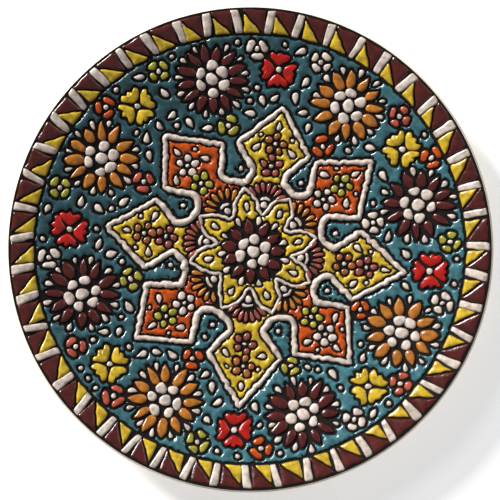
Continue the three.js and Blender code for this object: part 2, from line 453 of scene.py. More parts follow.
print("body faces after boring:", len(bored.polygons))

# %% [markdown]
# ## Piping
#
# A decorator lays each shape from a glaze bulb. A shape is kept here as a colour and an outline
# on the plan, and its points are also noted as taken, because the flooded glazes must keep clear
# of them later. Nothing laid by hand is quite regular, so each outline gets a slight wobble.

# %% Outlines on the plan
RELIEF = 1.15  # how far the glaze stands proud, in millimetres
LINE = 1.15  # the bare dark line round a flooded colour
FINE_LINE = 0.8  # the same inside the medallions and the star
POCKET_MOUTH = 58.0  # how far from the star's centre a pocket opens into the field
POCKET_FADE = 12.0  # how much further in it counts as deep
SAMPLE = 0.45  # the spacing of the points that are noted as taken
STRAY = 0.55  # how far a hand-laid outline strays, in millimetres
STRAY_PACE = 0.3  # how quickly it strays, per millimetre

laid = {colour: [] for colour in ENAMELS}
taken = []


def spot(radius, angle):
    return Vector((radius * math.cos(angle), radius * math.sin(angle)))


def circle(middle, radius, count):
    return [middle + spot(radius, i * TURN / count) for i in range(count)]


def placed(outline, middle, angle):
    """An outline that was drawn round the origin, turned and moved to its place."""
    turn = Matrix.Rotation(angle, 2)
    return [middle + turn @ point for point in outline]


def sides_of(outline):
    """The pairs of neighbours round a closed outline."""
    return list(zip(outline, outline[1:] + outline[:1]))


def dense(path, closed=True):
    """Points along a path, close enough together to keep the flooded glaze off it."""
    points = []
    for start, end in sides_of(path) if closed else zip(path, path[1:]):
        count = max(1, round((end - start).length / SAMPLE))
        points += [start.lerp(end, i / count) for i in range(count)]
    return points


def middle_of(outline):
    return sum(outline, Vector((0, 0))) / len(outline)


def strayed(point):
    across = noise.noise((point.x * STRAY_PACE, point.y * STRAY_PACE, 1.5))
    along = noise.noise((point.x * STRAY_PACE, point.y * STRAY_PACE, 8.5))
    return point + Vector((across, along)) * STRAY


def wobbled(outline, amount):
    """An outline bulged a little to two and to three sides, with its points astray."""
    middle = middle_of(outline)
    lean = random.uniform(0, TURN)
    bulge = random.uniform(0, TURN)
    points = []
    for point in outline:
        away = point - middle
        angle = math.atan2(away.y, away.x)
        swell = math.sin(2 * angle + lean) + 0.7 * math.sin(3 * angle + bulge)
        points.append(strayed(middle + away * (1 + amount * swell)))
    return points


def pipe(colour, outline, height=RELIEF, wobble=0.05):
    """Lays a shape, and notes its outline and two smaller ones inside it as taken."""
    shape = wobbled(outline, wobble)
    laid[colour].append((shape, height * random.uniform(0.92, 1.08)))
    middle = middle_of(shape)
    for share in (1.0, 0.66, 0.33):
        taken.extend(dense([middle.lerp(point, share) for point in shape]))


def tree_of(points):
    tree = kdtree.KDTree(len(points))
    for i, point in enumerate(points):
        tree.insert((point.x, point.y, 0.0), i)
    tree.balance()
    return tree


def room_at(point):
    """The distance from a point to the nearest shape that is already laid."""
    return min((point - other).length for other in taken)


# %% [markdown]
# Three kinds of outline make nearly the whole pattern. A bead is round, and a drop is pointed at
# one end. A pillow is a rounded square that can be bent round a point, to make a bar of the border
# or a bean-shaped petal. Freer shapes are a smooth path through a few points, some of them kept
# as sharp corners.

# %% Outlines and smooth paths
DROP_FULLNESS = 1.15  # makes up for the width that the pointed end takes away


def bead(length, width, sides=12):
    steps = [i * TURN / sides for i in range(sides)]
    return [Vector((length / 2 * math.cos(t), width / 2 * math.sin(t))) for t in steps]


def drop(length, width, sides=12, point=0.45):
    """A drop along x whose back end is pointed, and more so where point is higher."""
    outline = []
    for i in range(sides):
        along = math.cos(i * TURN / sides)
        half = width / 2 * math.sin(i * TURN / sides) * ((1 + along) / 2) ** point
        outline.append(Vector((length / 2 * along, DROP_FULLNESS * half)))
    return outline


def pillow(square, sides):
    """Pairs round a circle that fills out into a square as the value falls from 1 to 0."""
    round_pairs = [(math.cos(i * TURN / sides), math.sin(i * TURN / sides)) for i in range(sides)]
    return [[math.copysign(abs(value) ** square, value) for value in pair] for pair in round_pairs]


def bent(middle, radius, angle, span, depth, square=0.7, sides=14):
    """A pillow bent round a middle, as wide as the span and as deep as the depth."""
    pairs = pillow(square, sides)
    return [middle + spot(radius + depth / 2 * v, angle + span / 2 * u) for u, v in pairs]


def smooth_path(points, sharp, steps):
    """A closed curve through the points, which keeps a corner where sharp says so."""
    count = len(points)
    path = []
    for i in range(count):
        start, end = points[i], points[(i + 1) % count]
        chord = end - start
        leave = chord if sharp[i] else (end - points[i - 1]) / 2
        arrive = chord if sharp[(i + 1) % count] else (points[(i + 2) % count] - start) / 2
        for k in range(steps):
            t = k / steps
            bend = (t**3 - 2 * t**2 + t) * leave + (t**3 - t**2) * arrive
            path.append(start * (2 * t**3 - 3 * t**2 + 1) + end * (3 * t**2 - 2 * t**3) + bend)
    return path


# %% [markdown]
# ## The border
#
# The border repeats one cell: a white bar, then a rectangle parted by a slanting line into a
# large maroon corner and a smaller yellow one. Each is drawn in from the lines round it, and its
# corners are rounded as glaze rounds them.

# %% Corners drawn in and rounded
def drawn_in(corners, margin):
    """The corners of an outline whose sides are all moved inwards by a margin."""
    count = len(corners)
    lines = []
    for i, start in enumerate(corners):
        along = (corners[(i + 1) % count] - start).normalized()
        lines.append((start + Vector((-along.y, along.x)) * margin, along))
    moved = []
    for i, (start, along) in enumerate(lines):
        before, way = lines[i - 1]
        reach = (start - before).cross(along) / way.cross(along)
        moved.append(before + way * reach)
    return moved


def rounded(corners, share, steps=3):
    """An outline whose corners are rounded over a share of each side."""
    outline = []
    for i, corner in enumerate(corners):
        back = corner.lerp(corners[i - 1], share)
        ahead = corner.lerp(corners[(i + 1) % len(corners)], share)
        for k in range(steps + 1):
            t = k / steps
            outline.append(back.lerp(corner, t).lerp(corner.lerp(ahead, t), t))
    return outline


def subdivided(outline, reach):
    points = []
    for start, end in sides_of(outline):
        count = max(1, math.ceil((end - start).length / reach))
        points += [start.lerp(end, i / count) for i in range(count)]
    return points


# %% The border's cells
BORDER_CELLS = 47
BORDER_OUTER = 123.3
BORDER_INNER = 110.9
BORDER_TURN = math.radians(1.0)
BAR_WIDTH = 4.2
BAR_GAP = 0.15  # from a bar to the corners beside it, before they are drawn in
CORNER_SPACING = 1.6

border_middle = (BORDER_OUTER + BORDER_INNER) / 2
step = TURN / BORDER_CELLS


def corner_shape(corners, margin, roundness):
    return subdivided(rounded(drawn_in(corners, margin), roundness), CORNER_SPACING)


def border_cell(index):
    drift = math.radians(random.uniform(-0.4, 0.4))
    bar = BORDER_TURN + index * step + drift
    width = BAR_WIDTH * random.uniform(0.8, 1.08)
    taper = random.uniform(0.0, 0.2)
    skew = math.radians(random.uniform(-0.7, 0.7))
    outline = []
    for u, v in pillow(0.3, 22):
        angle = bar + u * (1 + taper * v) * width / 2 / border_middle + v * skew
        radius = border_middle + v * (BORDER_OUTER - BORDER_INNER) / 2 * 0.97
        outline.append(spot(radius, angle))
    pipe("white", outline, RELIEF * 1.1, 0.012)
    start = bar + (width / 2 + BAR_GAP) / border_middle
    end = BORDER_TURN + (index + 1) * step - (BAR_WIDTH / 2 + BAR_GAP) / border_middle
    near, far = BORDER_INNER, BORDER_OUTER
    foot = spot(near, start + (end - start) * random.uniform(0.0, 0.08))
    head = spot(near + (far - near) * random.uniform(0.78, 0.97), end)
    maroon = [foot, spot(near, start), spot(far, start), spot(far, end), head]
    yellow = [foot, head, spot(near, end)]
    pipe("maroon", corner_shape(maroon, 0.3, 0.1), RELIEF, 0.01)
    pipe("yellow", corner_shape(yellow, 0.4, 0.12), RELIEF, 0.01)


for index in range(BORDER_CELLS):
    border_cell(index)
print("border shapes:", sum(len(shapes) for shapes in laid.values()))

# %% [markdown]
# ## Daisies
#
# Eight large daisies stand in the field and one in the middle of the star. Each has a cluster of
# beads for its heart, a ring of pointed petals, and small drops in the gaps between the petals.
# The outer ones alternate between amber and maroon. The ground between the petals stays bare, so
# a short line in each gap is noted as taken too.

# %% A daisy
DAISY_RING = 89.6
DAISY_TURNS = (55.5, 102.6, 148.6, 194.9, 240.7, 287.8, 331.1, 14.7)
PETAL_COUNTS = (12, 13, 12, 12, 12, 12, 11, 12)
DAISY_REACH = 18.7
DAISY_HEART = 13.5  # the flooded glaze doesn't run further in than this between the petals
HEART_BEAD = (6.9, 6.2)  # length and width, as in all the sizes of beads and drops below
RING_BEADS = 6
RING_BEAD = (5.3, 6.1)
BEAD_RING = 6.75
PETAL_ROOT = 8.9
PETAL_WIDTH = 5.2
GAP_DROP = (4.2, 2.7)


def sized(size, share):
    return [value * share for value in size]


def daisy(colour, middle, petals, reach, turn, bare):
    pipe("white", placed(bead(*HEART_BEAD), middle, turn), RELIEF * 1.15, 0.07)
    for i in range(RING_BEADS):
        angle = turn + (i + random.uniform(-0.12, 0.12)) * TURN / RING_BEADS
        size = random.uniform(0.88, 1.1)
        at = middle + spot(BEAD_RING * random.uniform(0.94, 1.06), angle)
        pipe("white", placed(bead(*sized(RING_BEAD, size)), at, angle), RELIEF * 1.1, 0.08)
    for i in range(petals):
        angle = turn + (i + 0.35 + random.uniform(-0.1, 0.1)) * TURN / petals
        tip = reach * random.uniform(0.93, 1.05)
        length = tip - PETAL_ROOT
        at = middle + spot(PETAL_ROOT + length / 2, angle)
        lean = angle + random.uniform(-0.1, 0.1)
        wide = PETAL_WIDTH * random.uniform(0.84, 1.14) * 12 / petals
        pipe(colour, placed(drop(length, wide, 14, random.uniform(0.2, 0.52)), at, lean + TURN / 2))
        between = angle + TURN / petals / 2
        taken.extend(dense([middle + spot(PETAL_ROOT, between), middle + spot(bare, between)], False))
        if random.random() < 0.93:
            at = middle + spot(reach * random.uniform(0.9, 0.97), between)
            size = random.uniform(0.8, 1.15)
            pipe("white", placed(drop(*sized(GAP_DROP, size)), at, between), RELIEF * 0.9)


for index, turn in enumerate(DAISY_TURNS):
    colour = ("amber", "maroon")[index % 2]
    at = spot(DAISY_RING, math.radians(turn))
    first = math.radians(turn) + random.uniform(0, 1)
    daisy(colour, at, PETAL_COUNTS[index], DAISY_REACH, first, DAISY_HEART)
print("petals and beads so far:", sum(len(shapes) for shapes in laid.values()))

# %% [markdown]
# ## Flowers of four petals
#
# Outside each medallion's tip stands a flower of four broad petals, yellow and red in turn. A
# petal widens outwards and ends in a frill, so its outline is one side from the root to the
# frill, and the same side mirrored.

# %% Frilled petals
FLOWER_RING = 93.6
FLOWER_REACH = 8.7
FLOWER_PETALS = 4
FLOWER_TURNS = (33.2, 80.8, 128.3, 173.7, 219.3, 265.1, 310.8, 352.9)
# Along and across a petal, as shares of the flower's reach.
PETAL_SIDE = ((0.27, 0.1), (0.44, 0.36), (0.66, 0.56), (0.87, 0.61), (1.0, 0.46), (0.86, 0.24))


def frilled_petal(middle, angle, reach):
    lobe = (random.uniform(1.0, 1.1), random.uniform(-0.05, 0.05))
    far = [(along, -across) for along, across in PETAL_SIDE]
    skew = random.uniform(-0.12, 0.12)
    outline = []
    for along, across in (*far, lobe, *reversed(PETAL_SIDE)):
        stretch = reach * random.uniform(0.93, 1.05)
        outline.append(Vector((along * stretch, (across + skew * along) * reach)))
    return placed(smooth_path(outline, [False] * len(outline), 2), middle, angle)


for index, turn in enumerate(FLOWER_TURNS):
    colour = ("yellow", "red")[index % 2]
    at = spot(FLOWER_RING, math.radians(turn))
    for i in range(FLOWER_PETALS):
        angle = math.radians(turn) + (i + random.uniform(-0.07, 0.07)) * TURN / FLOWER_PETALS
        pipe(colour, frilled_petal(at, angle, FLOWER_REACH), RELIEF, 0.03)
    pipe("white", placed(bead(3.2, 3.0), at, 0.0), RELIEF * 0.9)
print("flowers:", len(FLOWER_TURNS))

# %% [markdown]
# ## The two white lines
#
# One line runs round all eight medallions, dipping between them into rounded pockets, and a
# second one zigzags inside it as a star. Both are drawn freehand round a point a little off the
# plate's centre. A smooth path through a few points per medallion gives each line, and most of
# its corners are kept sharp.

# %% Paths through points
STAR_CENTRE = Vector((1.7, -1.4))
MEDALLION_TURNS = (37.2, 78.3, 127.3, 170.2, 216.3, 264.8, 311.1, 352.2)
MEDALLION_TIPS = (76.6, 76.0, 74.9, 76.7, 75.0, 79.9, 76.0, 79.1)
STAR_TURNS = (55.0, 98.2, 146.6, 189.2, 240.9, 287.1, 331.9, 12.5)
STAR_TIP = 33.3
STAR_SHOULDER = (27.2, 5.3)  # along and across the axis of a point of the star
STAR_VALLEY = 19.6
POCKET_RING = 36.2
# Along and across a medallion's axis, from a pocket's corner out to the shoulder.
MEDALLION_SIDE = ((36.1, 10.2), (41.2, 8.0), (47.5, 13.2), (54.0, 18.2))
SHARP_SIDE = (False, False, False, True)
# How far the hand strayed outwards on the two sides of each medallion.
RIGHT_DRIFT = (0.9, 0.0, 2.8, 0.0, 1.0, 0.2, 0.3, -0.8)
LEFT_DRIFT = (-1.3, 0.6, -1.7, -0.6, 0.3, 0.8, -0.4, -0.5)


def medallion_path():
    points, sharp = [], []
    for index, turn in enumerate(MEDALLION_TURNS):
        angle = math.radians(turn)
        tip = Vector((MEDALLION_TIPS[index], 0.0))
        right = [Vector((along, -across - RIGHT_DRIFT[index])) for along, across in MEDALLION_SIDE]
        left = [Vector((along, across + LEFT_DRIFT[index])) for along, across in MEDALLION_SIDE]
        points += placed([*right, tip, *reversed(left)], STAR_CENTRE, angle)
        sharp += [*SHARP_SIDE, True, *reversed(SHARP_SIDE)]
        points.append(STAR_CENTRE + spot(POCKET_RING, math.radians(STAR_TURNS[index])))
        sharp.append(False)
    return smooth_path(points, sharp, 10)


def valley_angle(index):
    """The direction midway between two points of the star."""
    gap = (STAR_TURNS[index] - STAR_TURNS[index - 1]) % 360
    return math.radians(STAR_TURNS[index] - gap / 2)


def star_path():
    points, sharp = [], []
    for index, turn in enumerate(STAR_TURNS):
        valley = STAR_VALLEY * random.uniform(0.95, 1.05)
        points.append(STAR_CENTRE + spot(valley, valley_angle(index)))
        along, across = STAR_SHOULDER
        right = Vector((along, -across * random.uniform(0.85, 1.1)))
        left = Vector((along, across * random.uniform(0.85, 1.1)))
        tip = Vector((STAR_TIP, 0.0))
        points += placed([right, tip, left], STAR_CENTRE, math.radians(turn))
        sharp += [random.random() < 0.6, False, True, False]
    return smooth_path(points, sharp, 7)


print("points on the medallions' line:", len(medallion_path()))


# %% [markdown]
# A line of glaze is a cord that settles as it melts. A curve with a round bevel makes it, and
# the radius varies along it as the hand slows down and speeds up. It is fullest at the bottom
# of the pockets. Small sideways waves make the edge look piped.

# %% Ribbons of white enamel
WAVE_LENGTH = 4.4
SWELL_PACE = 0.23  # how quickly a line swells and thins, per point


def line_points(path, wave):
    points = dense(path)
    moved = []
    for i, point in enumerate(points):
        ahead = (points[(i + 3) % len(points)] - points[i - 3]).normalized()
        shift = wave * math.sin(i * SAMPLE / WAVE_LENGTH * TURN) * noise.noise((i * 0.05, 7.1, 0.0))
        moved.append(strayed(point + Vector((-ahead.y, ahead.x)) * shift))
    return moved[::2]


def pocket_depth(point):
    """How deep in a pocket a point lies, from 0 at its mouth to 1."""
    return min(max((POCKET_MOUTH - (point - STAR_CENTRE).length) / POCKET_FADE, 0.0), 1.0)


def ribbon(path, width, wave, seed, fuller=0.0):
    points = line_points(path, wave)
    data = bpy.data.curves.new("line", "CURVE")
    data.dimensions = "3D"
    data.bevel_depth = width / 2
    data.bevel_resolution = 3
    spline = data.splines.new("POLY")
    spline.points.add(len(points) - 1)
    spline.use_cyclic_u = True
    for i, (point, target) in enumerate(zip(points, spline.points)):
        swell = 1 + 0.4 * noise.noise((i * SWELL_PACE, seed, 0.0)) + fuller * pocket_depth(point)
        target.co = (point.x, point.y, 0.0, 1.0)
        target.radius = swell
        ahead = (points[(i + 1) % len(points)] - points[i - 1]).normalized()
        aside = Vector((-ahead.y, ahead.x)) * width / 2 * swell
        taken.extend((point + aside, point + aside / 2, point, point - aside / 2, point - aside))
    made = in_scene("line", data)
    tube = bpy.data.meshes.new_from_object(made)
    bpy.data.objects.remove(made)
    return points, tube


medallion_line, medallion_tube = ribbon(medallion_path(), width=2.6, wave=1.0, seed=3.7, fuller=0.3)
star_line, star_tube = ribbon(star_path(), width=1.85, wave=0.7, seed=9.2)
print("ribbon points:", len(medallion_line), len(star_line))

# %% [markdown]
# ## Blossoms
#
# Two small blossoms stand near the border beside each flower, and one more between each pair of
# medallions. A blossom is three or four bean-shaped petals bent round a white bead. It is laid
# after its larger neighbours, so it moves aside where one is too near.

# %% Bean-shaped petals round a bead
OUTER_BLOSSOMS = (
    (27.3, "orange"),
    (41.5, "coral"),
    (69.1, "white"),
    (88.0, "white"),
    (117.2, "green"),
    (135.0, "orange"),
    (162.1, "green"),
    (183.1, "white"),
    (209.3, "coral"),
    (227.0, "coral"),
    (254.8, "green"),
    (273.1, "orange"),
    (301.5, "white"),
    (318.6, "coral"),
    (344.3, "white"),
    (2.0, "green"),
)
INNER_BLOSSOMS = (
    (54.6, "orange"),
    (99.9, "green"),
    (147.7, "coral"),
    (194.5, "green"),
    (242.5, "orange"),
    (289.4, "green"),
    (331.3, "orange"),
    (13.3, "white"),
)
BLOSSOM_RINGS = (102.9, 65.0)
BLOSSOM_REACH = 5.7
LEAST_BLOSSOM = 0.8  # as a share of the full size
BEAN_RING = 4.0
BLOSSOM_BEAD = (2.8, 2.4)
ASIDE_STEP = 0.15
ASIDE_TRIES = 30


def moved_aside(point, tree, reach):
    """Steps a blossom away from whatever lies within its reach."""
    for _ in range(ASIDE_TRIES):
        near, _, gap = tree.find((point.x, point.y, 0.0))
        if gap > reach:
            break
        point = point + (point - near.xy).normalized() * ASIDE_STEP
    return point


def blossom(colour, middle, size):
    turn = random.uniform(0, TURN)
    count = random.choice((3, 3, 4))
    for i in range(count):
        angle = turn + i * TURN / count + random.uniform(-0.12, 0.12)
        span = TURN / count * random.uniform(0.68, 0.82)
        depth = random.uniform(3.2, 3.8) * size
        pipe(colour, bent(middle, BEAN_RING * size, angle, span, depth), RELIEF * 0.95, 0.08)
    pipe("white", placed(bead(*sized(BLOSSOM_BEAD, size)), middle, turn), RELIEF * 0.85)


laid_tree = tree_of(taken)
for ring, blossoms in zip(BLOSSOM_RINGS, (OUTER_BLOSSOMS, INNER_BLOSSOMS)):
    for turn, colour in blossoms:
        at = moved_aside(spot(ring, math.radians(turn)), laid_tree, BLOSSOM_REACH + 0.5)
        size = min(random.uniform(0.95, 1.06), (room_at(at) - 0.4) / BLOSSOM_REACH)
        blossom(colour, at, max(size, LEAST_BLOSSOM))
print("blossoms:", len(OUTER_BLOSSOMS) + len(INNER_BLOSSOMS))

# %% [markdown]
# ## Inside the medallions
#
# From the tip inwards a medallion holds a drop, two posies of five round petals, a drop in each
# shoulder with a dot beside it where there is room, and at its foot a fan of thin petals over a
# crescent and a bead. The posies are green and white in the orange medallions, and brown and pink
# in the yellow ones.

# %% Filling a medallion
# The colours of the outer and the inner posy in each medallion.
POSY_COLOURS = (
    ("green", "white"),
    ("brown", "pink"),
    ("white", "green"),
    ("brown", "pink"),
    ("green", "white"),
    ("brown", "pink"),
    ("white", "green"),
    ("pink", "brown"),
)
FAN_COLOURS = {"yellow": "pink", "orange": "amber"}
# Along and across a medallion's axis.
SHOULDER_DROP = (53.6, 9.2)
SHOULDER_DOT = (60.4, 8.2)
POSY_RINGS = (57.1, 45.6)
POSY_PETALS = 5
POSY_PETAL = (4.0, 3.6)
PETAL_RING = 4.1
TIP_DROP = 66.4
USUAL_TIP = 76.5  # the posies and the drop move with a tip that is longer or shorter
FAN_MIDDLE = 24.8
FAN_SPREAD = 54  # degrees to either side
FAN_RING = 9.0


def posy(colour, middle):
    turn = random.uniform(0, TURN)
    for i in range(POSY_PETALS):
        angle = turn + (i + random.uniform(-0.1, 0.1)) * TURN / POSY_PETALS
        at = middle + spot(PETAL_RING, angle)
        size = random.uniform(0.86, 1.1)
        pipe(colour, placed(bead(*sized(POSY_PETAL, size), 10), at, turn + i), RELIEF * 0.95)
    pipe("white", placed(bead(2.2, 1.9, 10), middle, turn), RELIEF * 0.85)


def medallion(index, colour):
    axis = math.radians(MEDALLION_TURNS[index])

    def inside(along, across=0.0):
        return STAR_CENTRE + Matrix.Rotation(axis, 2) @ Vector((along, across))

    shift = MEDALLION_TIPS[index] - USUAL_TIP
    pipe("white", placed(drop(4.6, 2.7), inside(TIP_DROP + shift), axis + TURN / 2))
    for ring, tone in zip(POSY_RINGS, POSY_COLOURS[index]):
        posy(tone, inside(ring + shift * 0.7, random.uniform(-0.4, 0.4)))
    for side in (-1, 1):
        along, across = SHOULDER_DROP
        way = axis + side * random.uniform(1.9, 2.6)
        pipe("white", placed(drop(5.0, 3.2), inside(along, side * across), way))
        at = inside(SHOULDER_DOT[0], side * SHOULDER_DOT[1])
        if room_at(at) > 1.6:
            pipe("white", placed(bead(1.9, 1.7, 10), at, way), 0.9)
    out = valley_angle(index)
    fan = STAR_CENTRE + spot(FAN_MIDDLE, out)
    petals = random.choice((6, 7))
    for i in range(petals):
        angle = out + math.radians(FAN_SPREAD * (2 * i / (petals - 1) - 1))
        at = fan + spot(FAN_RING, angle)
        pipe(FAN_COLOURS[colour], placed(drop(6.2, 2.5, 10), at, angle), RELIEF * 0.9)
    pipe("white", bent(fan, 3.7, out, 1.7, 1.6, sides=12), RELIEF * 0.9)
    pipe("white", placed(bead(3.7, 3.5), fan, out))


for index in range(len(MEDALLION_TURNS)):
    medallion(index, ("orange", "yellow")[index % 2])

# %% [markdown]
# ## Inside the star and the pockets
#
# The middle of the star is a ninth daisy, smaller than the others. Every point of the star
# holds one white drop, and so does every pocket between two medallions.

# %% The star's drops, the pockets' beads and the middle daisy
KITE_DROP = 23.4
POCKET_BEAD = 43.4
STAR_HEART = 15.9  # the middle daisy keeps the flooded glaze outside this circle

for turn in STAR_TURNS:
    angle = math.radians(turn)
    at = STAR_CENTRE + spot(KITE_DROP, angle)
    pipe("white", placed(drop(4.3, 2.9), at, angle), RELIEF * 0.9)
    at = STAR_CENTRE + spot(POCKET_BEAD, angle)
    pipe("white", placed(bead(2.5, 2.2), at, angle), RELIEF * 0.9)
daisy("maroon", STAR_CENTRE, petals=11, reach=17.4, turn=0.4, bare=STAR_HEART)
taken.extend(circle(STAR_CENTRE, STAR_HEART, 240))
print("all shapes:", sum(len(shapes) for shapes in laid.values()))

# %% [markdown]
# ## Drops on the open ground
#
# What is left of the field is dotted with white drops, one in every open patch. The rule is the
# decorator's own: look for the widest bare patch, put a drop in the middle of it, and go on
# until no patch is wide enough. The drops point every way, and a narrow patch gets a dot.

# %% Finding the widest patches
FIELD_EDGE = 111.6  # where the border begins
DOT_ROOM = 4.15  # the room that a dot needs, from its middle
DROP_ROOM = 4.9
FIELD_DROP = (5.2, 3.3)
SEARCH = 1.3  # the spacing of the places that are tried
INNER_FIELD = 50.0  # no patch is open nearer to the middle

taken.extend(circle(Vector((0.0, 0.0)), FIELD_EDGE, 1500))


def inside_of(line):
    """A test for points that lie inside a closed line, on the left of its nearest stretch."""
    tree = tree_of(line)

    def is_inside(point):
        index = tree.find((point.x, point.y, 0.0))[1]
        along = line[(index + 1) % len(line)] - line[index - 1]
        return along.cross(point - line[index]) > 0

    return is_inside


in_medallions = inside_of(medallion_line)
in_star = inside_of(star_line)


def open_patches():
    tree = tree_of(taken)
    reach = int(FIELD_EDGE / SEARCH)
    patches = []
    for i in range(-reach, reach + 1):
        for k in range(-reach, reach + 1):
            point = Vector((i, k)) * SEARCH
            if not INNER_FIELD < point.length < FIELD_EDGE:
                continue
            room = tree.find((point.x, point.y, 0.0))[2]
            if room > DOT_ROOM and not in_medallions(point):
                patches.append([room, point])
    return patches


# %% Laying the drops
patches = open_patches()
field_drops = 0
while patches:
    room, middle = max(patches, key=lambda patch: patch[0])
    angle = random.uniform(0, TURN)
    if room > DROP_ROOM:
        size = min(room / FIELD_DROP[0], 1.12) * random.uniform(0.9, 1.05)
        outline = placed(drop(*sized(FIELD_DROP, size)), middle, angle)
    else:
        size = random.uniform(2.2, 2.9)
        outline = placed(bead(size, size * 0.88, 10), middle, angle)
    pipe("white", outline, RELIEF)
    field_drops += 1
    for patch in patches:
        gap = min((patch[1] - point).length for point in outline)
        patch[0] = min(patch[0], gap)
    patches = [patch for patch in patches if patch[0] > DOT_ROOM]
print("drops on the open ground:", field_drops)

# %% [markdown]
# ## Raising the piped shapes
#
# All shapes of one colour are raised together. Each outline becomes a face sunk into the clay,
# and extruding it again and again, each time higher and drawn in, builds the rounded side. A
# last poke closes the top with a point. Then everything is lifted onto the curve of the dish,
# and each vertex keeps its share of the full thickness for the material.

# %% Domes by repeated extrusion
ROOT = 0.5  # how deep a shape is rooted in the clay
DOME = ((1.0, 0.0), (0.95, 0.5), (0.8, 0.83), (0.5, 0.97))


def onto_dish(mesh):
    thickness = mesh.verts.layers.float.new("thickness")
    for vert in mesh.verts:
        vert[thickness] = min(max(vert.co.z / RELIEF, 0.0), 1.0)
        vert.co.z += dish(vert.co.xy.length)
    for face in mesh.faces:
        face.smooth = True


def raised(shapes):
    mesh = bmesh.new()
    number = mesh.faces.layers.int.new("number")
    middles = []
    for i, (outline, _) in enumerate(shapes):
        base = mesh.faces.new([mesh.verts.new((*point, -ROOT)) for point in outline])
        base.normal_update()
        if base.normal.z < 0:
            base.normal_flip()
        base[number] = i
        middles.append(middle_of(outline))
    caps = list(mesh.faces)
    before = 1.0
    for level, (share, rise) in enumerate(DOME):
        grown = bmesh.ops.extrude_face_region(mesh, geom=caps)["geom"]
        if level:
            bmesh.ops.delete(mesh, geom=caps, context="FACES_ONLY")
        caps = [part for part in grown if isinstance(part, bmesh.types.BMFace)]
        for cap in caps:
            middle, height = middles[cap[number]], shapes[cap[number]][1]
            for vert in cap.verts:
                drawn = middle.lerp(vert.co.xy, share / before)
                vert.co = (*drawn, rise * height)
        before = share
    heights = [(middles[cap[number]], shapes[cap[number]][1]) for cap in caps]
    tops = bmesh.ops.poke(mesh, faces=caps)["verts"]
    for top, (middle, height) in zip(tops, heights):
        top.co = (*top.co.xy, height)
    return mesh


coats = {colour: raised(shapes) for colour, shapes in laid.items() if shapes}
coats["white"].from_mesh(medallion_tube)
coats["white"].from_mesh(star_tube)
print("coats:", {colour: len(mesh.faces) for colour, mesh in coats.items()})

# %% [markdown]
# ## Flooding the cells
#
# The teal ground, the medallions and the points of the star are flooded: the glaze is run into
# a cell and stops a line's width short of everything in it. So its edge is the curve at that
# distance from the nearest piped shape. The distance is measured on a fine grid, and where it
# passes the line's width the grid's edges are cut, which gives closed loops.

# %% Loops at a line's width from everything
GRID = 0.75
LOOP_STEP = 0.75

nearest = tree_of(taken)


def line_at(point):
    """The width of the bare line near a point, finest in the medallions, ragged in the pockets."""
    uneven = 0.4 * noise.noise((point.x * 0.3, point.y * 0.3, 0.0))
    ragged = noise.noise((point.x * 0.7, point.y * 0.7, 4.0))
    if in_medallions(point):
        return FINE_LINE * (1 + uneven + 0.6 * ragged)
    depth = pocket_depth(point)
    return LINE * (1 + uneven + (0.35 + 0.8 * depth) * ragged + 0.1 * depth)


def clearance(point):
    """How far inside the glaze a point lies."""
    if point.length > FIELD_EDGE or (point - STAR_CENTRE).length < STAR_HEART:
        return -1.0
    return nearest.find((point.x, point.y, 0.0))[2] - line_at(point)


def measured_grid():
    reach = math.ceil(FIELD_EDGE / GRID)
    span = range(-reach, reach + 1)
    return {(i, k): clearance(Vector((i, k)) * GRID) for i in span for k in span}


def crossing(rooms, a, b):
    share = rooms[a] / (rooms[a] - rooms[b])
    return (Vector(a) * GRID).lerp(Vector(b) * GRID, share)


def cell_links(rooms):
    """The step from one cut edge of the grid to the next, with the glaze on the left."""
    links, places = {}, {}
    for i, k in rooms:
        square = [(i, k), (i + 1, k), (i + 1, k + 1), (i, k + 1)]
        if any(corner not in rooms for corner in square):
            continue
        for trio in ((0, 1, 2), (0, 2, 3)):
            corners = [square[n] for n in trio]
            wet = [rooms[corner] > 0 for corner in corners]
            if all(wet) or not any(wet):
                continue
            ends = {}
            for a, b in ((0, 1), (1, 2), (2, 0)):
                if wet[a] != wet[b]:
                    key = tuple(sorted((corners[a], corners[b])))
                    places[key] = crossing(rooms, corners[a], corners[b])
                    ends["out" if wet[a] else "in"] = key
            links[ends["out"]] = ends["in"]
    return links, places


def loops_of(links, places):
    loops = []
    while links:
        start, following = links.popitem()
        loop = [places[start]]
        while following != start:
            loop.append(places[following])
            following = links.pop(following)
        loops.append(loop)
    return loops


edges_of_glaze = loops_of(*cell_links(measured_grid()))
print("loops:", len(edges_of_glaze), "points:", sum(len(loop) for loop in edges_of_glaze))


# %% [markdown]
# The loops are spaced out evenly and pulled exactly onto the line. Rows of points behind them
# carry the rounded edge, and a loose lattice fills the flat middle. A triangulation that keeps
# the loops as its edges joins them all, and the triangles outside the glaze are left out.

# %% Points for the flooded glaze
EDGE_ROWS = (0.16, 0.5, 1.1)
LATTICE = 1.7
ROW_SPACING = math.sqrt(0.75)  # the height of a triangle with sides of 1
PULL = 0.5  # a point that lies further off the line is left where it is
SKIN = 2.0  # the width of the rounded edge


def spaced(loop, reach):
    total = sum((end - start).length for start, end in sides_of(loop))
    count = max(6, round(total / reach))
    marks = [total * i / count for i in range(count)]
    points, walked, mark = [], 0.0, 0
    for start, end in sides_of(loop):
        length = (end - start).length
        while mark < count and marks[mark] < walked + length:
            points.append(start.lerp(end, (marks[mark] - walked) / length))
            mark += 1
        walked += length
    return points


def onto_line(point, room):
    near, _, reach = nearest.find((point.x, point.y, 0.0))
    wanted = line_at(point) + room
    away = (point - near.xy).normalized()
    return near.xy + away * wanted if abs(reach - wanted) < PULL + room else point


